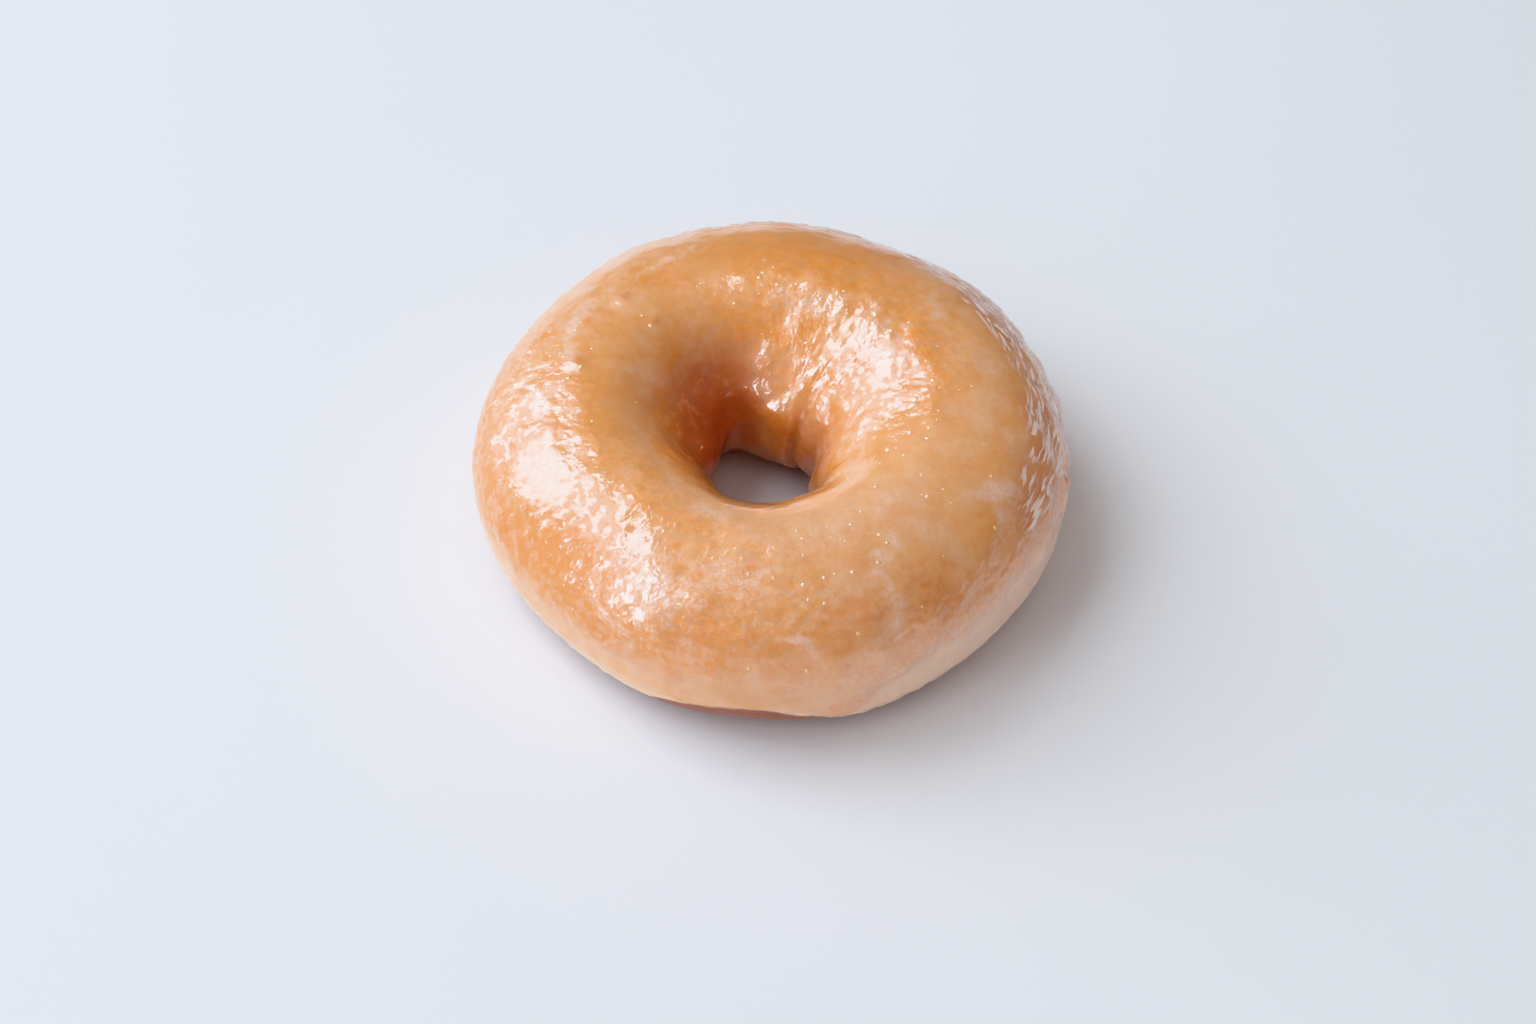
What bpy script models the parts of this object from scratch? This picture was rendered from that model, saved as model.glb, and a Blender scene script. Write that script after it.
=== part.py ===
"""Glazed ring doughnut: a yeast-raised ring fried on both sides, solid all through.

Blender 4.5, metres, +Z up, run with: blender --background --python part.py
The origin is on the resting plane, under the middle of the doughnut's outline. -Y is its front.

The ring is a torus primitive whose rings of vertices are moved onto the doughnut's own section.
The section has four superelliptic quarters, from the waist up to the crest, down the funnel to the
throat, out to the flat that it rests on, and back up to the waist. Slow waves round the ring make the
outline, the crest and the throat as uneven as dough is.
"""

from math import atan2, hypot, pi

import bpy
import numpy as np

NAME = "doughnut"

# Driving dimensions.
OUTER_RADIUS = 0.0485
HEIGHT = 0.0308
THROAT_RADIUS = 0.0101

# The section, as shares of the driving dimensions. The ring rests on the ring-shaped flat between
# FLAT_INNER_RADIUS and FLAT_OUTER_RADIUS.
CREST_RADIUS = 0.57 * OUTER_RADIUS
FLAT_OUTER_RADIUS = 0.69 * OUTER_RADIUS
FLAT_INNER_RADIUS = 0.43 * OUTER_RADIUS
WAIST_HEIGHT = 0.38 * HEIGHT
THROAT_HEIGHT = 0.36 * HEIGHT

# The pale waist, where the two fried halves meet, is pinched in a little.
WAIST_PINCH = 0.0005
WAIST_SPREAD = 0.10 * HEIGHT

# Exponents of the quarters: 2 is an ellipse, and more is squarer.
UPPER_OUTSIDE, FUNNEL, LOWER_OUTSIDE, LOWER_INSIDE = 2.2, 1.8, 2.3, 2.1

# Waves round the ring: (waves per turn, amplitude, azimuth of a peak in degrees).
OUTLINE_WAVES = (
    (2, 0.0002, 20),
    (3, 0.00025, 31),
    (4, 0.00045, 13),
    (5, 0.0003, -24),
    (7, 0.0002, -14),
)
CREST_WAVES = ((1, 0.0004, 100), (2, 0.0003, 60), (3, 0.0003, 200), (5, 0.0002, 15))
THROAT_WAVES = ((2, 0.0004, 100), (3, 0.0004, 20))

# The throat's wall bulges inwards in round lobes with sharp creases between them. The widest lobe is
# at LOBE_AZIMUTH, and the lobes fade out up the funnel.
THROAT_LOBES = 5
LOBE_AZIMUTH = 70
LOBE_UNEVENNESS = 0.17
LOBE_DEPTH = 0.0022
LOBE_FADE = 3
# Where the hole's middle lies, off the middle of the outline, in x and y.
HOLE_SHIFT = (-0.0019, -0.0043)

# Mesh density: steps round the ring and round its section, and the points that each quarter of the
# section is worked out with.
RING_STEPS = 88
SECTION_STEPS = 44
QUARTER_POINTS = 96

CRUST_COLOUR = (0.60, 0.31, 0.11, 1.0)
CRUST_ROUGHNESS = 0.25


def clear_scene():
    for obj in list(bpy.data.objects):
        bpy.data.objects.remove(obj, do_unlink=True)


def waves(azimuth, terms):
    """The sum of the given waves at an azimuth in radians."""
    return sum(size * np.cos(count * (azimuth - np.radians(peak))) for count, size, peak in terms)


def quarter(across, up, exponent):
    """A superelliptic quarter from (across, 0) to (0, up), without its last point."""
    turn = np.linspace(0, pi / 2, QUARTER_POINTS, endpoint=False)
    power = 2 / exponent
    return np.column_stack([across * np.cos(turn) ** power, up * np.sin(turn) ** power])


def throat_lobe(azimuth):
    """How far the lobes reach inwards at the throat."""
    turn = azimuth - np.radians(LOBE_AZIMUTH)
    return LOBE_DEPTH * abs(np.cos(THROAT_LOBES / 2 * (turn - LOBE_UNEVENNESS * np.sin(turn))))


def section(azimuth):
    """The closed section at an azimuth as (radius, height) rows, from the waist and over the top."""
    waist = OUTER_RADIUS + waves(azimuth, OUTLINE_WAVES)
    top = HEIGHT + waves(azimuth, CREST_WAVES)
    throat = THROAT_RADIUS + waves(azimuth, THROAT_WAVES)

    upper_outside = quarter(waist - CREST_RADIUS, top - WAIST_HEIGHT, UPPER_OUTSIDE)
    funnel = quarter(CREST_RADIUS - throat, top - THROAT_HEIGHT, FUNNEL)[::-1]
    lower_inside = quarter(FLAT_INNER_RADIUS - throat, THROAT_HEIGHT, LOWER_INSIDE)
    lower_outside = quarter(waist - FLAT_OUTER_RADIUS, WAIST_HEIGHT, LOWER_OUTSIDE)[::-1]
    outline = np.vstack(
        [
            upper_outside + (CREST_RADIUS, WAIST_HEIGHT),
            [(CREST_RADIUS, top)],
            funnel * (-1, 1) + (CREST_RADIUS, THROAT_HEIGHT),
            lower_inside * (-1, -1) + (FLAT_INNER_RADIUS, THROAT_HEIGHT),
            [(FLAT_INNER_RADIUS, 0)],
            [(FLAT_OUTER_RADIUS, 0)],
            lower_outside * (1, -1) + (FLAT_OUTER_RADIUS, WAIST_HEIGHT),
        ]
    )
    nearness = np.clip((CREST_RADIUS - outline[:, 0]) / (CREST_RADIUS - throat), 0, 1)
    outline[:, 0] -= throat_lobe(azimuth) * nearness**LOBE_FADE
    from_waist = (outline[:, 1] - WAIST_HEIGHT) / WAIST_SPREAD
    outside = outline[:, 0] > CREST_RADIUS
    outline[:, 0] -= WAIST_PINCH * np.exp(-(from_waist**2)) * outside
    return outline


def evenly_spaced(outline, count):
    """count points at equal steps along a closed outline, the first of them on its first point."""
    closed = np.vstack([outline, outline[:1]])
    run = np.concatenate([[0], np.cumsum(np.hypot(*np.diff(closed, axis=0).T))])
    wanted = np.linspace(0, run[-1], count, endpoint=False)
    return np.column_stack([np.interp(wanted, run, closed[:, axis]) for axis in (0, 1)])


def hole_shift(radius):
    """How far the ring leans towards the hole's own middle: fully at the throat, not at the waist."""
    share = np.clip((OUTER_RADIUS - radius) / (OUTER_RADIUS - THROAT_RADIUS), 0, 1)
    return share * HOLE_SHIFT[0], share * HOLE_SHIFT[1]


def ring_material():
    material = bpy.data.materials.new("glazed_crust")
    material.use_nodes = True
    shader = material.node_tree.nodes["Principled BSDF"]
    shader.inputs["Base Color"].default_value = CRUST_COLOUR
    shader.inputs["Roughness"].default_value = CRUST_ROUGHNESS
    shader.inputs["Metallic"].default_value = 0.0
    return material


def doughnut():
    """The ring as one mesh object, standing on z = 0 with its outline centred on the origin."""
    tube_radius = (OUTER_RADIUS - THROAT_RADIUS) / 2
    middle_radius = THROAT_RADIUS + tube_radius
    bpy.ops.mesh.primitive_torus_add(
        major_segments=RING_STEPS,
        minor_segments=SECTION_STEPS,
        major_radius=middle_radius,
        minor_radius=tube_radius,
    )
    ring = bpy.context.object
    ring.name = NAME
    ring.data.name = NAME

    sections = [evenly_spaced(section(2 * pi * i / RING_STEPS), SECTION_STEPS) for i in range(RING_STEPS)]
    for vertex in ring.data.vertices:
        x, y, z = vertex.co
        azimuth = atan2(y, x)
        step = round(azimuth / (2 * pi) * RING_STEPS) % RING_STEPS
        place = round(atan2(z, hypot(x, y) - middle_radius) / (2 * pi) * SECTION_STEPS) % SECTION_STEPS
        radius, height = sections[step][place]
        shift_x, shift_y = hole_shift(radius)
        vertex.co = (radius * np.cos(azimuth) + shift_x, radius * np.sin(azimuth) + shift_y, height)

    corners = np.array([vertex.co for vertex in ring.data.vertices])
    middle = (corners.min(axis=0) + corners.max(axis=0)) / 2
    for vertex in ring.data.vertices:
        vertex.co.x -= middle[0]
        vertex.co.y -= middle[1]
    ring.data.shade_smooth()
    ring.data.materials.append(ring_material())
    return ring


def main():
    clear_scene()
    parts = bpy.data.collections.new("ring_doughnut")
    bpy.context.scene.collection.children.link(parts)
    ring = doughnut()
    for collection in list(ring.users_collection):
        collection.objects.unlink(ring)
    parts.objects.link(ring)


main()
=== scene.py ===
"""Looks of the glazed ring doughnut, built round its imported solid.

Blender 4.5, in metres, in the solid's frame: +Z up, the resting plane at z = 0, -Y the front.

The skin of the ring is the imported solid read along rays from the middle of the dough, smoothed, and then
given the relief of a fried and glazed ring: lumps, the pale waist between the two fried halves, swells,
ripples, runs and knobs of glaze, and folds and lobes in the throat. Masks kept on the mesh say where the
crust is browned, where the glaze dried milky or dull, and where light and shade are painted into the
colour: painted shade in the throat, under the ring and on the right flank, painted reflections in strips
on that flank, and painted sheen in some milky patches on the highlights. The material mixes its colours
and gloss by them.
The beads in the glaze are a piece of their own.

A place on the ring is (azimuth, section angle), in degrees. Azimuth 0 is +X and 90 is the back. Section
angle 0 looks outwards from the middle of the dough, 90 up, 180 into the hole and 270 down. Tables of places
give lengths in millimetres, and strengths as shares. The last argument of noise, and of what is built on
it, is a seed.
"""

from dataclasses import dataclass
from itertools import product
from math import cos, pi, radians, sin

import bmesh
import bpy
import numpy as np
from mathutils import Matrix, Vector
from mathutils.bvhtree import BVHTree


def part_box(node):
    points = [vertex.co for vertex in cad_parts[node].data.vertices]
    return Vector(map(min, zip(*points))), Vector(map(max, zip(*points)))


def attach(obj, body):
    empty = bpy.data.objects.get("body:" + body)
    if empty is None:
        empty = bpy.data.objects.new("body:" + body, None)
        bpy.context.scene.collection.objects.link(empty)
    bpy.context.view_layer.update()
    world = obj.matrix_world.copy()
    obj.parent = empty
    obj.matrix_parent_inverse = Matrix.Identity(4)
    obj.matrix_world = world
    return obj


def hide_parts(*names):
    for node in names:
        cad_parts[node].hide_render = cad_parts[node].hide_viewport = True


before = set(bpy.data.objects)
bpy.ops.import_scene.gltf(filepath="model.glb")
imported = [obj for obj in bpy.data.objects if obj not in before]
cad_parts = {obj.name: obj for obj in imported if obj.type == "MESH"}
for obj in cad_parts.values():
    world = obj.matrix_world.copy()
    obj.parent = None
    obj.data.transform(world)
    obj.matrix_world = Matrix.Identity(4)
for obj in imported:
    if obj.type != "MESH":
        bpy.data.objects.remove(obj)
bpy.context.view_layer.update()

MM = 0.001
RING = "doughnut"

LOW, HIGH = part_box(RING)
HEIGHT = HIGH.z
OUTER_RADIUS = (HIGH.x - LOW.x) / 2
# The middle of the dough's section, which every ray to the skin starts from.
MIDDLE_RADIUS = 0.59 * OUTER_RADIUS
MIDDLE_HEIGHT = 0.44 * HEIGHT

# The skin's grid: steps round the ring, and round its section.
RING_STEPS = 440
SECTION_STEPS = 224
# How many rays read the solid in each section, and the blur of what they read, in steps and in rays.
SECTION_RAYS = 240
STEP_BLUR, RAY_BLUR = 2.0, 1.6


# ---------------------------------------------------------------- the skin


@dataclass
class Skin:
    """A closed grid of points on the ring: rows by azimuth, columns by section angle."""

    points: np.ndarray
    azimuth: np.ndarray
    section: np.ndarray

    def __post_init__(self):
        along = np.roll(self.points, -1, 0) - np.roll(self.points, 1, 0)
        around = np.roll(self.points, -1, 1) - np.roll(self.points, 1, 1)
        self.along = unit(along)
        self.around = unit(around)
        self.normals = unit(np.cross(self.along, self.around))
        self.radius = np.hypot(self.points[..., 0], self.points[..., 1])
        self.height = self.points[..., 2]
        steps = np.linalg.norm(np.diff(self.points, axis=1), axis=-1)
        self.run = np.hstack([np.zeros((len(steps), 1)), np.cumsum(steps, axis=1)])

    def at(self, azimuth, section):
        """The row and column nearest to a place."""
        row = np.argmin(abs(turned(self.azimuth[:, 0], azimuth)))
        column = np.argmin(abs(turned(self.section[0], section)))
        return row, column

    def raised(self, amount):
        """The same skin with every point moved out along its normal."""
        moved = self.points + self.normals * amount[..., None]
        return Skin(moved, self.azimuth, self.section)


def unit(vectors):
    return vectors / np.maximum(np.linalg.norm(vectors, axis=-1, keepdims=True), 1e-12)


def turned(angle, start):
    """The angle from start, in degrees, between -180 and 180."""
    return (angle - start + 180) % 360 - 180


def bell(offset, width):
    """1 at no offset, falling off to both sides over that width."""
    return np.exp(-((offset / width) ** 2))


def smooth_step(value, low, high):
    share = np.clip((value - low) / (high - low), 0, 1)
    return share * share * (3 - 2 * share)


def around_places(azimuth, section, distance):
    """World points at a distance from the middle of the dough's section."""
    turn, tilt = np.radians(azimuth), np.radians(section)
    radius = MIDDLE_RADIUS + distance * np.cos(tilt)
    height = MIDDLE_HEIGHT + distance * np.sin(tilt)
    return np.stack([radius * np.cos(turn), radius * np.sin(turn), height], axis=-1)


def blurred(grid, rows, columns):
    """A closed grid blurred by gaussians of that many rows and columns."""
    spectrum = np.fft.fft2(grid)
    for axis, width in ((0, rows), (1, columns)):
        waves = np.fft.fftfreq(grid.shape[axis]) * 2 * pi
        fade = np.exp(-((waves * width) ** 2) / 2)
        spectrum *= fade[:, None] if axis == 0 else fade[None, :]
    return np.fft.ifft2(spectrum).real


def closeness(section):
    """How close the skin's columns are wanted: widest apart underneath, closest on the upper flank."""
    return 1 - 0.72 * bell(turned(section, 262), 42) + 0.25 * bell(turned(section, 40), 45)


def read_skin():
    """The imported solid's surface as a smooth grid, with its columns closest where most is seen."""
    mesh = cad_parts[RING].data
    tree = BVHTree.FromPolygons([v.co for v in mesh.vertices], [p.vertices for p in mesh.polygons])
    even = np.linspace(0, 360, SECTION_RAYS, endpoint=False)
    azimuth = np.linspace(0, 360, RING_STEPS, endpoint=False)
    distance = np.empty((RING_STEPS, SECTION_RAYS))
    for row, turn in enumerate(azimuth):
        start = Vector(around_places(turn, 0, 0))
        outwards = around_places(turn, even, 1) - np.array(start)
        for column, direction in enumerate(outwards):
            distance[row, column] = tree.ray_cast(start, Vector(direction))[3]
    distance = blurred(distance, STEP_BLUR, RAY_BLUR)

    outline = around_places(0, even, distance.mean(axis=0))
    steps = np.linalg.norm(np.roll(outline, -1, 0) - outline, axis=1)
    run = np.concatenate([[0], np.cumsum(steps * closeness(even))])
    wanted = np.linspace(0, run[-1], SECTION_STEPS, endpoint=False)
    full_turn = np.append(even, 360)
    section = np.interp(wanted, run, full_turn)
    rows = [np.interp(section, full_turn, np.append(row, row[0])) for row in distance]
    azimuths, sections = np.meshgrid(azimuth, section, indexing="ij")
    return Skin(around_places(azimuths, sections, np.array(rows)), azimuths, sections)


# ---------------------------------------------------------------- noise and patches


# How many random slopes the noise picks from, and what brings it up to about 1.
SLOPES = 256
NOISE_GAIN = 1.6


def noise(points, size, seed):
    """Smooth noise between about -1 and 1, with features of that size."""
    draw = np.random.default_rng(seed)
    order = draw.permutation(SLOPES)
    slopes = unit(draw.normal(size=(SLOPES, 3)))
    where = points / size
    cell = np.floor(where).astype(int)
    inside = where - cell
    ease = inside**3 * (inside * (inside * 6 - 15) + 10)
    total = np.zeros(points.shape[:-1])
    for corner in product((0, 1), repeat=3):
        x, y, z = np.moveaxis(cell + corner, -1, 0)
        pick = order[(order[(order[x % SLOPES] + y) % SLOPES] + z) % SLOPES]
        weight = np.prod(np.where(corner, ease, 1 - ease), axis=-1)
        total += weight * np.sum(slopes[pick] * (inside - corner), axis=-1)
    return total * NOISE_GAIN


def stretched_noise(skin, along, around, seed):
    """Noise with features of one size along the ring and another round its section."""
    turn = np.radians(skin.azimuth)
    loop = OUTER_RADIUS * 0.85 / along
    where = np.stack([loop * np.cos(turn), loop * np.sin(turn), skin.run / around], axis=-1)
    return noise(where, 1, seed)


def ridges(value, sharpness=2.0):
    """Thin crests between 0 and 1 where the noise crosses zero."""
    return np.clip(1 - abs(value) * 2.2, 0, 1) ** sharpness


def wavering(skin, reach, seed):
    """The skin's points pushed about by up to that much, which gives patches uneven outlines."""
    push = [noise(skin.points, 2.5 * reach, seed + axis) for axis in range(3)]
    return skin.points + reach * np.stack(push, axis=-1)


def sector(skin, azimuth, reach, section, spread):
    """1 around a place on the ring, fading out over wide angles."""
    off = (turned(skin.azimuth, azimuth) / reach) ** 2 + (turned(skin.section, section) / spread) ** 2
    return np.exp(-(off**1.5))


def summed(skin, sectors):
    """Several sectors added up at each point."""
    return sum(share * sector(skin, *place) for *place, share in sectors)


def strongest(skin, sectors):
    """The strongest of several sectors at each point."""
    return np.max([share * sector(skin, *place) for *place, share in sectors], axis=0)


def patch(skin, points, azimuth, section, length, width, turn=0):
    """1 at a place, fading over an oval patch. Its long side is turned from the ring's run."""
    row, column = skin.at(azimuth, section)
    off = points - skin.points[row, column]
    along, around = off @ skin.along[row, column], off @ skin.around[row, column]
    lift = off @ skin.normals[row, column]
    lengthwise = along * cos(radians(turn)) + around * sin(radians(turn))
    crosswise = -along * sin(radians(turn)) + around * cos(radians(turn))
    return np.exp(-((lengthwise / length) ** 2) - (crosswise / width) ** 2 - (lift / max(length, width)) ** 2)


def gathered(skin, patches, wander, seed):
    """The strongest of many patches at each point."""
    points = wavering(skin, wander, seed)
    total = np.zeros(skin.radius.shape)
    for azimuth, section, length, width, turn, strength in patches:
        spot = patch(skin, points, azimuth, section, length * MM, width * MM, turn)
        total = np.maximum(total, strength * spot)
    return total


def torn(skin, value, edge, seed):
    """A smooth share with its fall-off broken into flecks."""
    fringe = 0.36 * noise(skin.points, 2.0 * MM, seed) + 0.14 * noise(skin.points, 0.9 * MM, seed + 1)
    return smooth_step(value + fringe, edge, edge + 1.0)


# ---------------------------------------------------------------- the waist and the throat


# The waist's two edges: the level in mm, and swells of it round the ring: (azimuth, reach, height in mm).
LOWER_EDGE = (4.0, ((266, 17, 6.2), (200, 40, 0.8)))
UPPER_EDGE = (11.5, ((228, 24, -3.2), (262, 24, -2.0), (285, 5.5, -4.6), (318, 24, 4.6), (345, 20, 3.0)))
# The azimuth where the waist runs out softly into the glaze, with next to no step.
SOFT_WAIST = 325


def edge_height(skin, edge):
    """The height of one edge of the waist at each point, from its level and its swells."""
    level, swells = edge
    level_points = skin.points * (1, 1, 0.2)
    height = level + 0.9 * noise(level_points, 9 * MM, 11)
    height += 0.35 * noise(level_points, 2.4 * MM, 12)
    for azimuth, reach, swell in swells:
        height += swell * bell(turned(skin.azimuth, azimuth), reach)
    return height * MM


def waist_edges(skin):
    """The heights of the pale waist's lower and upper edge at each point."""
    return edge_height(skin, LOWER_EDGE), edge_height(skin, UPPER_EDGE)


def outside(skin):
    """1 on the ring's outer side, 0 towards the hole."""
    return smooth_step(skin.radius, 0.72 * OUTER_RADIUS, 0.80 * OUTER_RADIUS)


# Where the throat's painted shade is darkest: (azimuth, reach, section angle, spread).
DARKEST_THROAT_SHADE = (165, 70, 176, 52)


def make_throat_shade(skin):
    """Painted shade in the lower part of the throat, darkest on its left wall."""
    into_hole = smooth_step(skin.radius, 0.36 * OUTER_RADIUS, 0.19 * OUTER_RADIUS)
    low = 1 - smooth_step(skin.height, 0.45 * HEIGHT, 0.78 * HEIGHT)
    return np.maximum(0.55 * into_hole * low, sector(skin, *DARKEST_THROAT_SHADE))


def make_masks(skin):
    """Shares that the material mixes its colours and its gloss by."""
    lower, upper = waist_edges(skin)
    fading = 0.8 + 2.6 * bell(turned(skin.azimuth, SOFT_WAIST), 40)
    band = smooth_step(skin.height, lower - 0.15 * MM, lower + 0.25 * MM)
    band *= 1 - smooth_step(skin.height, upper - fading * MM, upper + fading * MM)
    waist = band * outside(skin)
    under = 1 - smooth_step(skin.height, lower - 0.2 * MM, lower + 0.2 * MM)
    throat = make_throat_shade(skin)
    return {
        "waist": waist,
        "under": under,
        "throat": throat,
        "haze_and_sheen": make_haze_and_sheen(skin) * (1 - 0.9 * np.maximum(throat, under)),
        "toast": make_toast(skin),
        "spots": make_spots(skin),
        "golden": summed(skin, GOLDEN_PLACES),
        "rippled": rippling(skin) * (1 - 0.7 * waist),
        "flank": make_shaded_flank(skin) * (1 - waist),
        "dull": make_dull(skin) * (1 - band),
    }


# ---------------------------------------------------------------- the crust's and the glaze's colours


# Where the glaze is clear and the crust golden: (azimuth, reach, section angle, spread, strength).
GOLDEN_PLACES = (
    (14, 38, 112, 26, 0.75),
    (280, 24, 28, 16, 0.22),
    (208, 46, 22, 20, 0.8),
    (95, 50, 76, 34, 0.8),
    (195, 44, 62, 40, 0.6),
    (235, 36, 40, 34, 0.5),
    (272, 34, 6, 16, 0.18),
)

# Where the dried glaze forms a fine net, given the same way.
NETTED = (
    (215, 50, 40, 34, 0.9),
    (150, 44, 64, 28, 0.9),
    (258, 40, 44, 22, 0.8),
    (45, 60, 60, 40, 0.4),
)

# Where the glaze dried milky all over, given the same way.
MILKY = (
    (330, 55, 88, 34, 0.15),
    (270, 45, 100, 30, 0.22),
    (350, 60, 10, 26, 0.15),
    (325, 40, 352, 22, 0.80),
    (280, 34, 45, 40, 0.13),
)

# Whitish streaks and patches of dried glaze, some of them painted sheen: (azimuth, section angle, length,
# width, turn, strength).
HAZE_AND_SHEEN = (
    (157, 66, 6.5, 2.0, 12, 0.9),
    (150, 70, 4.0, 1.6, -20, 0.6),
    (173, 73, 5.5, 1.6, 15, 0.8),
    (187, 59, 6.0, 1.8, 18, 0.8),
    (125, 101, 4.0, 1.5, 30, 0.4),
    (123, 73, 7.0, 1.4, 5, 0.6),
    (334, 52, 5.5, 2.0, -35, 1.0),
    (327, 43, 4.0, 1.2, 60, 0.7),
    (297, 60, 3.0, 1.3, 55, 0.8),
    (300, 67, 2.2, 1.0, 20, 0.7),
    (296, 40, 6.5, 1.3, 88, 0.7),
    (276, 28, 5.0, 1.0, -25, 0.9),
    (270, 32, 3.0, 0.8, 60, 0.6),
    (244, 41, 6.0, 3.0, 40, 0.7),
    (264, 58, 4.0, 2.0, 10, 0.7),
    (239, 19, 6.5, 1.3, -25, 0.8),
    (251, 92, 5.5, 1.6, 0, 0.6),
    (39, 75, 6.0, 2.6, -15, 0.5),
    (17, 73, 4.5, 2.4, 20, 0.4),
    (350, 60, 7.0, 1.6, 60, 0.35),
    # The last five lie on the highlights, where their whiteness is painted sheen.
    (80, 121, 7.5, 4.5, 0, 0.7),
    (29, 116, 9.5, 5.0, 0, 0.75),
    (210, 52, 8.0, 4.0, 0, 0.35),
    (247, 43, 7.0, 6.0, 0, 0.85),
    (259, 56, 6.0, 3.5, 0, 0.6),
)


def make_haze_and_sheen(skin):
    """How white the dried glaze is: a thin cloudy film, a fine net, milky places and marks, some of them
    painted sheen.
    """
    cloudy = noise(skin.points, 8 * MM, 21) + 0.7 * noise(skin.points, 3.6 * MM, 22)
    marked = torn(skin, gathered(skin, HAZE_AND_SHEEN, 1.6 * MM, 31), 0.12, 23)
    net = ridges(noise(wavering(skin, 1.1 * MM, 34), 2.3 * MM, 37), 1.6)
    netted = np.clip(summed(skin, NETTED), 0, 1)
    film = np.maximum(0.30 * smooth_step(cloudy, -0.1, 0.9), 0.50 * net * netted)
    film = film + summed(skin, MILKY) * (1 - film)
    film *= 1 - 0.6 * summed(skin, GOLDEN_PLACES)
    return np.clip(film + 0.75 * marked * (1 - 0.5 * film), 0, 1)


# Where the crust under the glaze is mottled orange: (azimuth, reach, section angle, spread, strength).
MOTTLED = (
    (232, 56, 26, 40, 0.6),
    (155, 60, 62, 34, 0.7),
    (285, 60, 16, 26, 0.38),
    (75, 60, 60, 34, 0.5),
)


def make_spots(skin):
    """Orange mottling, strongest low on the flank and in the mottled sectors."""
    mottled = 0.7 * noise(skin.points, 8 * MM, 24) + noise(skin.points, 3.4 * MM, 25)
    mottled += 0.9 * noise(wavering(skin, 0.5 * MM, 85), 1.5 * MM, 28)
    low = 1 - smooth_step(skin.section, 25, 75) * (1 - smooth_step(skin.section, 200, 240))
    share = np.maximum(0.20 + 0.25 * low, strongest(skin, MOTTLED))
    return np.clip(share, 0, 1) * smooth_step(mottled, -0.1, 0.7)


# Patches fried darker: (azimuth, section angle, length, width, turn, strength).
TOAST = (
    (78, 84, 3.0, 1.2, 0, 0.9),
    (103, 74, 5.0, 2.0, 5, 0.6),
    (146, 81, 1.6, 1.2, 0, 0.9),
    (146, 107, 1.5, 1.2, 0, 0.8),
    (175, 79, 2.6, 1.8, 30, 0.8),
    (210, 12, 7.0, 4.0, 0, 0.8),
    (239, 8, 8.0, 3.0, -15, 1.0),
    (255, 0, 3.0, 2.0, 0, 0.7),
    (255, 24, 5.0, 2.2, 20, 0.7),
    (292, 40, 4.5, 4.5, 0, 0.7),
    (305, 34, 7.5, 6.0, 0, 1.0),
    (334, 31, 8.0, 4.0, 60, 0.9),
    (288, 35, 6.0, 3.0, 0, 0.5),
    (289, 352, 6.5, 2.2, 10, 0.9),
    (276, 15, 9.0, 4.0, 0, 0.4),
    (15, 40, 12.0, 6.0, 30, 0.6),
    (60, 60, 12.0, 5.0, 10, 0.5),
    (95, 84, 18.0, 7.0, 0, 0.5),
)


# A browner right flank, given like a sector: (azimuth, reach, section angle, spread, strength).
BROWNER_RIGHT_FLANK = ((12, 75, 10, 28, 0.75),)


def make_toast(skin):
    """Browner patches, and a browner right flank."""
    marked = torn(skin, gathered(skin, TOAST, 1.8 * MM, 41), 0.10, 26)
    return np.clip(marked + summed(skin, BROWNER_RIGHT_FLANK), 0, 1)


# Where painted shade and pale strips of painted reflection lie on the flank: (azimuth, reach, section angle,
# spread, strength).
STRIPED = (
    (48, 58, 43, 15, 1.0),
    (354, 25, 32, 16, 1.0),
)


def make_shaded_flank(skin):
    """The flank to the right and behind, in broken stretches, where shade and pale strips of reflection are
    painted.
    """
    broken = 0.75 + 0.8 * noise(skin.points, 6 * MM, 29)
    return np.clip(broken * strongest(skin, STRIPED), 0, 1)


# Where the glaze dried dull, but for its glossy patches: (azimuth, reach, section angle, spread, strength).
DULLED = (
    (224, 58, 50, 48, 1.0),
    (46, 84, 136, 52, 1.0),
    (165, 62, 162, 40, 0.9),
)

# Patches that stayed glossy there: (azimuth, section angle, length, width, turn, strength).
GLOSSY = (
    (209, 53, 8.5, 7.0, 0, 1.0),
    (238, 62, 6.0, 5.0, 0, 0.85),
    (246, 42, 5.0, 5.0, 0, 0.6),
    (258, 57, 5.0, 3.0, 0, 0.45),
    (245, 88, 3.0, 1.6, 0, 0.7),
    (190, 62, 4.0, 2.5, 0, 0.6),
    (62, 118, 6.0, 3.0, 0, 1.0),
    (42, 124, 6.5, 5.5, 0, 1.0),
    (23, 127, 4.0, 3.5, 0, 1.0),
    (7, 121, 2.6, 2.0, 0, 1.0),
    (357, 112, 1.8, 1.4, 0, 1.0),
    (50, 110, 3.5, 1.0, 0, 0.9),
    (97, 127, 4.0, 3.4, 0, 0.6),
    (84, 171, 3.0, 1.4, 0, 1.0),
)


def make_dull(skin):
    """How much of its gloss the glaze has lost."""
    glossy = torn(skin, gathered(skin, GLOSSY, 1.4 * MM, 81), 0.05, 83)
    return strongest(skin, DULLED) * (1 - glossy)


# ---------------------------------------------------------------- relief


def lumps(skin):
    """The dough's own unevenness."""
    return (0.22 * noise(skin.points, 17 * MM, 51) + 0.10 * noise(skin.points, 7 * MM, 52)) * MM


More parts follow.
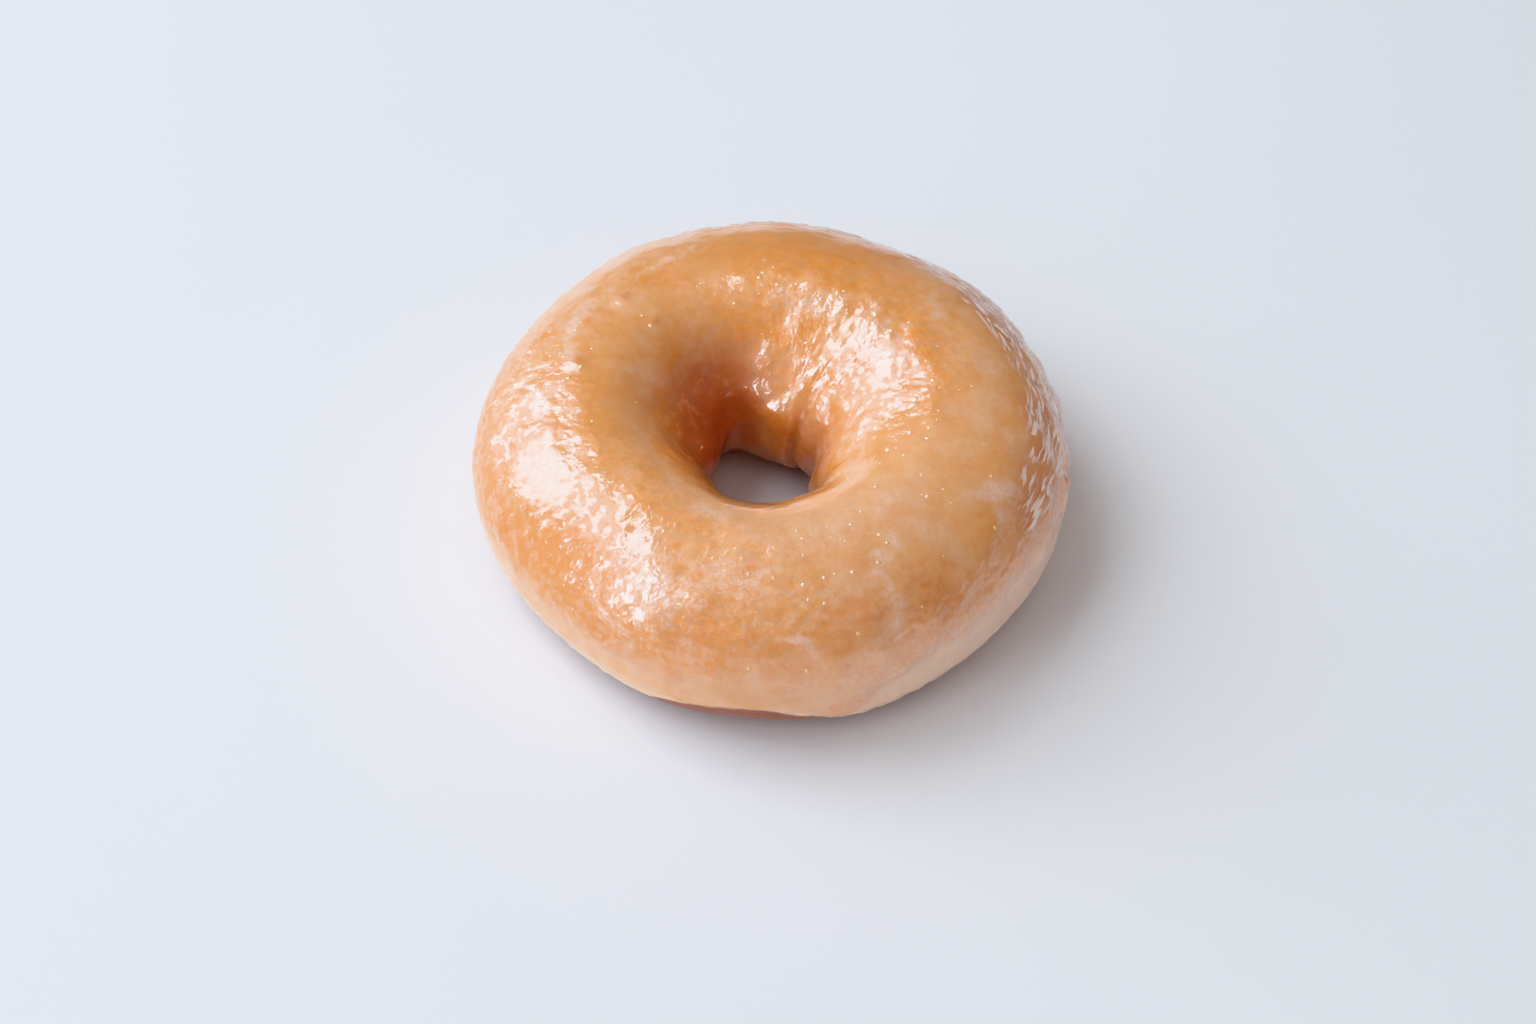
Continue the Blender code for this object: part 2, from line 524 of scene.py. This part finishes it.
def waist_relief(skin):
    """The waist lies a little back from the glazed half, and the lower half's crust back from both."""
    lower, upper = waist_edges(skin)
    below_glaze = 1 - smooth_step(skin.height, upper - 0.8 * MM, upper + 1.4 * MM)
    under = 1 - smooth_step(skin.height, lower - 0.45 * MM, lower + 0.15 * MM)
    waist = below_glaze * (1 - under)
    lip = bell(skin.height - lower - 0.5 * MM, 0.6 * MM)
    belly = bell(skin.height - lower + 2.2 * MM, 1.5 * MM)
    creased = ridges(stretched_noise(skin, 9 * MM, 1.6 * MM, 53))
    ragged = noise(skin.points, 1.5 * MM, 57) * (waist + lip)
    step = 0.15 - 0.12 * bell(turned(skin.azimuth, SOFT_WAIST), 35)
    depth = -step * below_glaze - 0.15 * under + 0.12 * lip + 0.30 * belly
    depth += 0.16 * ragged - 0.04 * waist * creased
    return depth * outside(skin) * MM


# Where the glaze ran and set in ripples: (azimuth, reach, section angle, spread, strength).
RIPPLED = (
    (205, 50, 38, 50, 0.62),
    (38, 62, 124, 34, 0.7),
    (70, 75, 165, 34, 0.35),
    (5, 84, 12, 36, 1.0),
    (95, 60, 20, 30, 1.0),
    (275, 60, 26, 36, 0.38),
)
# How strongly it is rippled everywhere else.
RIPPLED_ELSEWHERE = 0.20


def rippling(skin):
    """How strongly the glaze is rippled at each point, less so low on the ring."""
    total = np.maximum(RIPPLED_ELSEWHERE, strongest(skin, RIPPLED))
    above = smooth_step(skin.height, 0.25 * HEIGHT, 0.50 * HEIGHT)
    return total * (0.35 + 0.65 * above)


# Knobs of set glaze: (azimuth, section angle, radius, height).
KNOBS = (
    (352, 13, 1.0, 0.8),
    (346, 7, 0.8, 0.4),
    (288, 343, 3.4, 0.5),
    (283, 342, 1.3, 0.35),
    (232, 4, 0.9, 0.4),
    (226, 8, 0.9, 0.35),
    (78, 84, 1.8, 0.25),
    (146, 81, 1.3, 0.3),
    (146, 107, 1.2, 0.25),
    (175, 79, 1.6, 0.3),
)


# The back of the funnel, where the glaze ran down: (azimuth, reach, section angle, spread).
FUNNEL_BACK = (35, 50, 138, 26)


def glaze_relief(skin):
    """Swells and ripples of the glaze, its knobs, and runs down the back of the funnel."""
    swells = noise(skin.points, 4.8 * MM, 54)
    ripples = noise(wavering(skin, 0.5 * MM, 56), 1.6 * MM, 55)
    runs = sector(skin, *FUNNEL_BACK) * stretched_noise(skin, 1.0 * MM, 4.5 * MM, 59)
    knobs = sum(
        height * patch(skin, skin.points, azimuth, section, radius * MM, radius * MM)
        for azimuth, section, radius, height in KNOBS
    )
    return (rippling(skin) * (0.60 * swells + 0.22 * ripples) + 0.055 * runs + knobs) * MM


# Folds down the throat's wall, between its lobes: (azimuth, reach, depth, section angle of their top).
FOLDS = (
    (138, 24, 1.1, 152),
    (44, 9, 1.2, 168),
    (306, 9, 0.6, 165),
    (222, 12, 0.5, 160),
)

# Lobes that bulge into the throat: (azimuth, section angle, length, width, height).
LOBES = (
    (82, 170, 4.2, 3.2, 0.8),
    (8, 180, 3.4, 4.0, 0.6),
)


def throat_relief(skin):
    """Round lumpy lobes in the throat, parted by folds that fade out up the funnel."""
    points = wavering(skin, 0.8 * MM, 63)
    waver = 6 * noise(skin.points, 5 * MM, 61)
    above_base = 1 - smooth_step(skin.section, 205, 235)
    inside = smooth_step(skin.section, 118, 150) * above_base
    total = 0.22 * noise(skin.points, 3.6 * MM, 62) * inside
    for azimuth, reach, depth, top in FOLDS:
        near = bell(turned(skin.azimuth + waver, azimuth), reach)
        down = smooth_step(skin.section, top - 26, top + 26) * above_base
        total -= depth * near * down
    for azimuth, section, length, width, height in LOBES:
        total += height * patch(skin, points, azimuth, section, length * MM, width * MM)
    return total * MM


def add_relief(skin):
    """The skin with all its relief, which fades out above the flat that the ring rests on."""
    bottom = smooth_step(skin.height, 0.3 * MM, 3 * MM)
    amount = lumps(skin) + waist_relief(skin) + glaze_relief(skin) + throat_relief(skin)
    raised = skin.raised(amount * bottom)
    raised.points[..., 2] = np.maximum(raised.points[..., 2], 0.0)
    return raised


# ---------------------------------------------------------------- meshes


def link(obj):
    bpy.context.scene.collection.objects.link(obj)
    return obj


# The strips on the flank, painted reflections and bumps of the glaze, are this many times longer than wide.
STRIP_STRETCH = 7.0


def lanes(skin):
    """Texture places squeezed along the ring, so that what is drawn on them runs along it."""
    turn = np.radians(skin.azimuth)
    loop = OUTER_RADIUS / STRIP_STRETCH
    return np.stack([loop * np.cos(turn), loop * np.sin(turn), skin.run], axis=-1)


def skin_mesh(skin, masks, name):
    """The grid as one closed mesh of quads, with its masks and its lanes as attributes."""
    rows, columns = skin.radius.shape
    index = np.arange(rows * columns).reshape(rows, columns)
    ahead, above = np.roll(index, -1, 0), np.roll(index, -1, 1)
    both = np.roll(ahead, -1, 1)
    quads = np.stack([index, ahead, both, above], axis=-1).reshape(-1, 4)
    mesh = bpy.data.meshes.new(name)
    mesh.from_pydata(skin.points.reshape(-1, 3).tolist(), [], quads.tolist())
    for mask, values in masks.items():
        attribute = mesh.attributes.new(mask, "FLOAT", "POINT")
        attribute.data.foreach_set("value", values.astype(np.float32).ravel())
    attribute = mesh.attributes.new("lanes", "FLOAT_VECTOR", "POINT")
    attribute.data.foreach_set("vector", lanes(skin).astype(np.float32).ravel())
    mesh.shade_smooth()
    return link(bpy.data.objects.new(name, mesh))


# Beads where air broke through the glaze: (azimuth, section angle, radius).
BEADS = (
    (177, 83, 0.42), (181, 76, 0.42), (149, 106, 0.45), (147, 99, 0.35), (98, 106, 0.45),
    (91, 111, 0.35), (111, 120, 0.3), (63, 106, 0.4), (36, 109, 0.5), (41, 115, 0.5),
    (358, 113, 0.7), (330, 120, 0.55), (328, 107, 0.35), (340, 111, 0.35), (339, 101, 0.45),
    (309, 102, 0.45), (318, 78, 0.5), (299, 90, 0.3), (294, 84, 0.35), (278, 87, 0.3),
    (296, 59, 0.45), (278, 56, 0.4), (283, 58, 0.35), (290, 58, 0.4), (279, 48, 0.3),
    (288, 30, 0.4), (278, 15, 0.45), (326, 42, 0.4), (308, 125, 0.5), (300, 67, 0.35),
)

# Where smaller beads are strewn: (azimuth, reach, section angle, spread, count).
STREWN = (
    (290, 70, 75, 30, 18),
    (350, 40, 105, 22, 16),
    (190, 40, 70, 24, 20),
    (90, 60, 108, 14, 7),
    (40, 120, 60, 40, 8),
    (250, 60, 20, 18, 8),
)
# The smallest and largest radius of a strewn bead.
STREWN_SIZES = (0.18, 0.34)
# A bead is a flat ball sunk into the glaze: its half height and how deep its middle lies, in its own radii.
BEAD_HEIGHT = 0.50
BEAD_SINK = 0.24
# The least and most that one of its two widths is of the other.
BEAD_OVAL = (0.8, 1.1)
BEAD_SEED = 71


def bead_places(draw):
    """All beads, the placed ones first: (azimuth, section angle, radius in mm)."""
    yield from BEADS
    for azimuth, reach, section, spread, count in STREWN:
        turns = draw.normal(azimuth, reach / 2, count)
        tilts = draw.normal(section, spread / 2, count)
        yield from zip(turns, tilts, draw.uniform(*STREWN_SIZES, count))


def ball():
    """The vertices and faces of a small unit sphere. Unsorted, the faces come in another order each run."""
    work = bmesh.new()
    bmesh.ops.create_uvsphere(work, u_segments=12, v_segments=8, radius=1)
    points = np.array([vertex.co for vertex in work.verts])
    faces = sorted([vertex.index for vertex in face.verts] for face in work.faces)
    work.free()
    return points, faces


def make_beads(skin, name):
    """Half-sunk flattened drops on the skin, as one mesh."""
    draw = np.random.default_rng(BEAD_SEED)
    unit_points, unit_faces = ball()
    points, faces = [], []
    for azimuth, section, size in bead_places(draw):
        row, column = skin.at(azimuth, section)
        normal = skin.normals[row, column]
        upright = np.array(Vector(normal).to_track_quat("Z", "Y").to_matrix())
        radius = size * MM
        stretch = np.array((radius, radius * draw.uniform(*BEAD_OVAL), radius * BEAD_HEIGHT))
        place = skin.points[row, column] - normal * radius * BEAD_SINK
        first = len(points) * len(unit_points)
        points.append(place + (unit_points * stretch) @ upright.T)
        faces += [[first + corner for corner in face] for face in unit_faces]
    mesh = bpy.data.meshes.new(name)
    mesh.from_pydata(np.concatenate(points).tolist(), [], faces)
    mesh.shade_smooth()
    return link(bpy.data.objects.new(name, mesh))


# ---------------------------------------------------------------- materials


class Graph:
    """Short calls that add nodes to a material and link their inputs."""

    def __init__(self, name):
        self.material = bpy.data.materials.new(name)
        self.material.use_nodes = True
        self.tree = self.material.node_tree
        self.shader = self.tree.nodes["Principled BSDF"]
        self.place = self.add("ShaderNodeTexCoord").outputs["Object"]

    def add(self, kind, **settings):
        node = self.tree.nodes.new(kind)
        for name, value in settings.items():
            setattr(node, name, value)
        return node

    def feed(self, socket, value):
        """Links a socket to another node's output, or sets it to a plain value."""
        if isinstance(value, bpy.types.NodeSocket):
            self.tree.links.new(value, socket)
        else:
            socket.default_value = value

    def attribute(self, name, output):
        return self.add("ShaderNodeAttribute", attribute_name=name).outputs[output]

    def mask(self, name):
        return self.attribute(name, "Fac")

    def noise(self, size, detail=3.0, roughness=0.55, distortion=0.0, place=None):
        """Noise between 0 and 1 with features of that size."""
        node = self.add("ShaderNodeTexNoise")
        self.feed(node.inputs["Vector"], place or self.place)
        node.inputs["Scale"].default_value = 1 / size
        node.inputs["Detail"].default_value = detail
        node.inputs["Roughness"].default_value = roughness
        node.inputs["Distortion"].default_value = distortion
        return node.outputs["Fac"]

    def range(self, value, low, high, to_low=0.0, to_high=1.0):
        """Eases from to_low to to_high while the value rises from low to high."""
        node = self.add("ShaderNodeMapRange", interpolation_type="SMOOTHSTEP")
        for socket, given in zip(node.inputs, (value, low, high, to_low, to_high)):
            self.feed(socket, given)
        return node.outputs["Result"]

    def maths(self, operation, *values):
        node = self.add("ShaderNodeMath", operation=operation)
        for socket, given in zip(node.inputs, values):
            self.feed(socket, given)
        return node.outputs["Value"]

    def times(self, first, second):
        return self.maths("MULTIPLY", first, second)

    def lines(self, noise, on_line, beside):
        """One value along the thin winding lines where the noise crosses its middle, another beside them."""
        away = self.maths("ABSOLUTE", self.maths("SUBTRACT", noise, 0.5))
        return self.range(away, 0.0, 0.07, on_line, beside)

    def blend(self, share, first, second):
        node = self.add("ShaderNodeMix", data_type="RGBA")
        self.feed(node.inputs["Factor"], share)
        self.feed(node.inputs[6], first)
        self.feed(node.inputs[7], second)
        return node.outputs[2]

    def bump(self, height, distance, normal=None):
        """A normal bent by a height between 0 and 1 that stands for that distance."""
        node = self.add("ShaderNodeBump")
        node.inputs["Strength"].default_value = 1.0
        node.inputs["Distance"].default_value = distance
        self.feed(node.inputs["Height"], height)
        if normal is not None:
            self.feed(node.inputs["Normal"], normal)
        return node.outputs["Normal"]

    def set(self, **inputs):
        for name, value in inputs.items():
            self.feed(self.shader.inputs[name.replace("_", " ")], value)


GOLDEN = (0.84, 0.370, 0.105, 1)
AMBER = (0.75, 0.295, 0.065, 1)
TAN = (0.87, 0.455, 0.205, 1)
ORANGE = (0.84, 0.305, 0.065, 1)
TOASTED = (0.73, 0.25, 0.045, 1)
# Painted shade on the right flank, darker brown between the painted strips.
FLANK_SHADE = (0.56, 0.205, 0.075, 1)
# The underside's brown crust, darkened by painted shade where the ring meets the floor.
UNDER_CRUST_AND_SHADE = (0.36, 0.125, 0.07, 1)
# Painted shade in the throat, deep red-brown.
THROAT_SHADE = (0.42, 0.11, 0.065, 1)
CREAM = (0.95, 0.63, 0.41, 1)
# Whitish dried glaze, and painted sheen where its patches lie on the highlights.
DRIED_GLAZE_AND_SHEEN = (0.93, 0.68, 0.57, 1)
# Painted reflection: the pale strips along the flank.
STRIP_REFLECTION = (0.95, 0.72, 0.64, 1)
BEAD = (0.88, 0.50, 0.22, 1)
PALE_BEAD = (0.92, 0.60, 0.36, 1)

# The clear glaze, as a coat over the crust. It refracts more than sugar does, which makes its glints white.
GLAZE_IOR = 2.0
GLAZE_ROUGHNESS = 0.075
# How far light of each colour travels in the dough.
SUBSURFACE_RADIUS = (1.0, 0.38, 0.12)
SUBSURFACE_SCALE = 3.0 * MM


def glazed(graph, colour, normal, coat_normal, gloss=1.0):
    """The gloss shared by everything that the glaze covers."""
    graph.set(
        Base_Color=colour,
        Roughness=graph.range(graph.noise(2.5 * MM, 3), 0.3, 0.7, 0.28, 0.42),
        Specular_IOR_Level=0.3,
        Coat_Weight=gloss,
        Coat_Roughness=GLAZE_ROUGHNESS,
        Coat_IOR=GLAZE_IOR,
        Normal=normal,
        Coat_Normal=coat_normal,
    )


def bead_material():
    graph = Graph("glaze_bead")
    colour = graph.blend(graph.range(graph.noise(3 * MM), 0.4, 0.6), BEAD, PALE_BEAD)
    uneven = graph.bump(graph.noise(0.3 * MM, 1), 0.02 * MM)
    glazed(graph, colour, uneven, uneven)
    return graph.material


def strip_noise(graph):
    """Noise drawn out along the ring."""
    return graph.noise(0.6 * MM, 1, 0.4, 0.3, graph.attribute("lanes", "Vector"))


def crust_colour(graph):
    """The crust and waist, painted shade below, in the throat and on the flank, the dried glaze and its marks
    with some painted sheen, and painted strips of reflection.
    """
    broad = graph.range(graph.noise(6 * MM, 4), 0.36, 0.66)
    crust = graph.blend(broad, GOLDEN, TAN)
    crust = graph.blend(graph.mask("golden"), crust, AMBER)
    crust = graph.blend(graph.mask("spots"), crust, ORANGE)
    specks = graph.range(graph.noise(1.1 * MM, 4), 0.38, 0.68, 0.55, 1.0)
    crust = graph.blend(graph.times(graph.mask("toast"), specks), crust, TOASTED)
    # The underside: brown crust darkened by painted shade.
    crust = graph.blend(graph.mask("under"), crust, UNDER_CRUST_AND_SHADE)
    crust = graph.blend(graph.mask("waist"), crust, CREAM)
    # Painted shade in the throat.
    crust = graph.blend(graph.mask("throat"), crust, THROAT_SHADE)

    # Dried glaze, and painted sheen where its patches lie on the highlights.
    flecks = graph.range(graph.noise(0.7 * MM, 4), 0.30, 0.62, 0.45, 1.0)
    crust = graph.blend(graph.times(graph.mask("haze_and_sheen"), flecks), crust, DRIED_GLAZE_AND_SHEEN)
    cracks = graph.lines(graph.noise(1.7 * MM, 2, 0.5, 0.6), 0.8, 0.0)
    # No cracks in the throat's painted shade.
    out_of_throat_shade = graph.range(graph.mask("throat"), 0.0, 0.3, 1.0, 0.0)
    cracks = graph.times(graph.times(cracks, graph.mask("dull")), out_of_throat_shade)
    crust = graph.blend(cracks, crust, ORANGE)

    flank = graph.mask("flank")
    # Painted shade: the flank darker brown between its strips.
    crust = graph.blend(graph.times(flank, 0.8), crust, FLANK_SHADE)
    # Painted reflections: pale strips along the flank.
    strips = graph.range(strip_noise(graph), 0.54, 0.61)
    return graph.blend(graph.times(strips, graph.range(flank, 0.2, 0.6)), crust, STRIP_REFLECTION)


def crust_normals(graph):
    """The normals of the crust and of the glaze over it, which shows ripples, creases and strips more."""
    rippled = graph.mask("rippled")
    ripples = graph.times(graph.noise(1.1 * MM, 1, 0.4), rippled)
    creases = graph.times(graph.lines(graph.noise(1.4 * MM, 1, 0.4), 0.0, 1.0), rippled)
    strips = graph.times(strip_noise(graph), graph.mask("flank"))
    crust = graph.bump(ripples, 0.12 * MM)
    crust = graph.bump(graph.noise(0.4 * MM, 2), 0.03 * MM, crust)
    glaze = graph.bump(ripples, 0.27 * MM)
    glaze = graph.bump(creases, 0.05 * MM, glaze)
    glaze = graph.bump(strips, 0.6 * MM, glaze)
    return crust, glaze


def crust_gloss(graph):
    """Full gloss, unevenly less where the glaze dried dull, and little where there is none."""
    uneven = graph.range(graph.noise(1.4 * MM, 1, 0.5), 0.35, 0.70, 1.0, 0.0)
    gloss = graph.range(graph.times(graph.mask("dull"), uneven), 0.1, 0.5, 1.0, 0.2)
    unglazed = graph.maths("MAXIMUM", graph.mask("waist"), graph.mask("under"))
    return graph.times(gloss, graph.range(unglazed, 0.0, 1.0, 1.0, 0.25))


def crust_material():
    graph = Graph("glazed_crust")
    crust_normal, glaze_normal = crust_normals(graph)
    glazed(graph, crust_colour(graph), crust_normal, glaze_normal, crust_gloss(graph))
    graph.set(
        Subsurface_Weight=graph.range(graph.mask("under"), 0.0, 1.0, 0.4, 0.15),
        Subsurface_Radius=SUBSURFACE_RADIUS,
        Subsurface_Scale=SUBSURFACE_SCALE,
    )
    return graph.material


# ---------------------------------------------------------------- the setting


FLOOR_SIZE = 6
FLOOR_COLOUR = (0.82, 0.82, 0.85, 1)


def make_floor():
    """A plain pale floor, which isn't part of the doughnut."""
    bpy.ops.mesh.primitive_plane_add(size=FLOOR_SIZE)
    floor = bpy.context.object
    floor.name = "floor"
    material = bpy.data.materials.new("pale_floor")
    material.use_nodes = True
    shader = material.node_tree.nodes["Principled BSDF"]
    shader.inputs["Base Color"].default_value = FLOOR_COLOUR
    shader.inputs["Roughness"].default_value = 0.6
    shader.inputs["Specular IOR Level"].default_value = 0.2
    floor.data.materials.append(material)


def towards(azimuth, elevation):
    turn, lift = radians(azimuth), radians(elevation)
    return Vector((cos(turn) * cos(lift), sin(turn) * cos(lift), sin(lift)))


def make_light(name, azimuth, elevation, distance, width, height, power, colour):
    """A soft rectangular light that looks at the doughnut."""
    light = bpy.data.lights.new(name, "AREA")
    light.shape = "RECTANGLE"
    light.size, light.size_y = width, height
    light.energy = power
    light.color = colour
    lamp = link(bpy.data.objects.new(name, light))
    direction = towards(azimuth, elevation)
    lamp.location = direction * distance
    lamp.rotation_euler = direction.to_track_quat("Z", "Y").to_euler()
    lamp.visible_camera = False
    return lamp


# The room's two windows: (azimuth, elevation, distance, width, height, power of light, power of glints).
WINDOWS = (
    (158, 38, 1.2, 1.07, 1.62, 19.0, 50.0),
    (216, 29, 1.3, 0.44, 1.50, 6.0, 23.0),
)
DAYLIGHT = (0.80, 0.905, 1.0)
# A lamp that makes glints hangs at this share of its window's distance, as a mirrored ray misses the
# second of two lamps in one place.
GLINT_NEARNESS = 0.98

# A light from the front that makes no glints, given like a window.
FILL = (295, 48, 1.6, 1.8, 1.8, 6.5)
FILL_COLOUR = (1.0, 0.95, 0.92)
ROOM_COLOUR = (1.0, 0.94, 0.91, 1)
ROOM_STRENGTH = 0.28


def make_windows():
    """Each window is two lamps: one lights the scene and isn't mirrored, the other is only mirrored."""
    for number, (azimuth, elevation, distance, width, height, power, glint) in enumerate(WINDOWS, start=1):
        window = make_light(f"window_{number}", azimuth, elevation, distance, width, height, power, DAYLIGHT)
        window.visible_glossy = False
        nearer = GLINT_NEARNESS * distance
        glints = make_light(f"glint_{number}", azimuth, elevation, nearer, width, height, glint, DAYLIGHT)
        glints.visible_diffuse = False


def make_lights():
    """Two tall windows to the left, a fill from the front, and the dim room's own light."""
    make_windows()
    fill = make_light("fill", *FILL, FILL_COLOUR)
    fill.visible_glossy = False
    world = bpy.data.worlds.new("pale_room")
    world.use_nodes = True
    background = world.node_tree.nodes["Background"]
    background.inputs["Color"].default_value = ROOM_COLOUR
    background.inputs["Strength"].default_value = ROOM_STRENGTH
    bpy.context.scene.world = world
    bpy.context.scene.view_settings.view_transform = "Khronos PBR Neutral"


CAMERA_LENS, CAMERA_SENSOR = 50, 36
CAMERA_TARGET = Vector((-0.0002, -0.0136, 0.0154))
CAMERA_AZIMUTH = 270
CAMERA_ELEVATION = 50.1
CAMERA_ROLL = 2.57
CAMERA_DISTANCE = 0.340


def make_camera():
    """A camera in front and above, with its horizon rolled a little."""
    data = bpy.data.cameras.new("camera")
    data.lens, data.sensor_width = CAMERA_LENS, CAMERA_SENSOR
    data.clip_start = 0.01
    camera = link(bpy.data.objects.new("camera", data))
    back = towards(CAMERA_AZIMUTH, CAMERA_ELEVATION)
    right = Vector((1, 0, 0))
    up = back.cross(right)
    roll = radians(CAMERA_ROLL)
    across = right * cos(roll) + up * sin(roll)
    upright = up * cos(roll) - right * sin(roll)
    turn = Matrix((across, upright, back)).transposed().to_4x4()
    camera.matrix_world = Matrix.Translation(CAMERA_TARGET + back * CAMERA_DISTANCE) @ turn
    bpy.context.scene.camera = camera


# ---------------------------------------------------------------- the doughnut


def main():
    plain = read_skin()
    skin = add_relief(plain)
    ring = skin_mesh(skin, make_masks(plain), "glazed_ring")
    ring.data.materials.append(crust_material())
    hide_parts(RING)
    beads = make_beads(skin, "glaze_beads")
    beads.data.materials.append(bead_material())
    for piece in (ring, beads):
        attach(piece, "root")
    make_floor()
    make_lights()
    make_camera()


main()
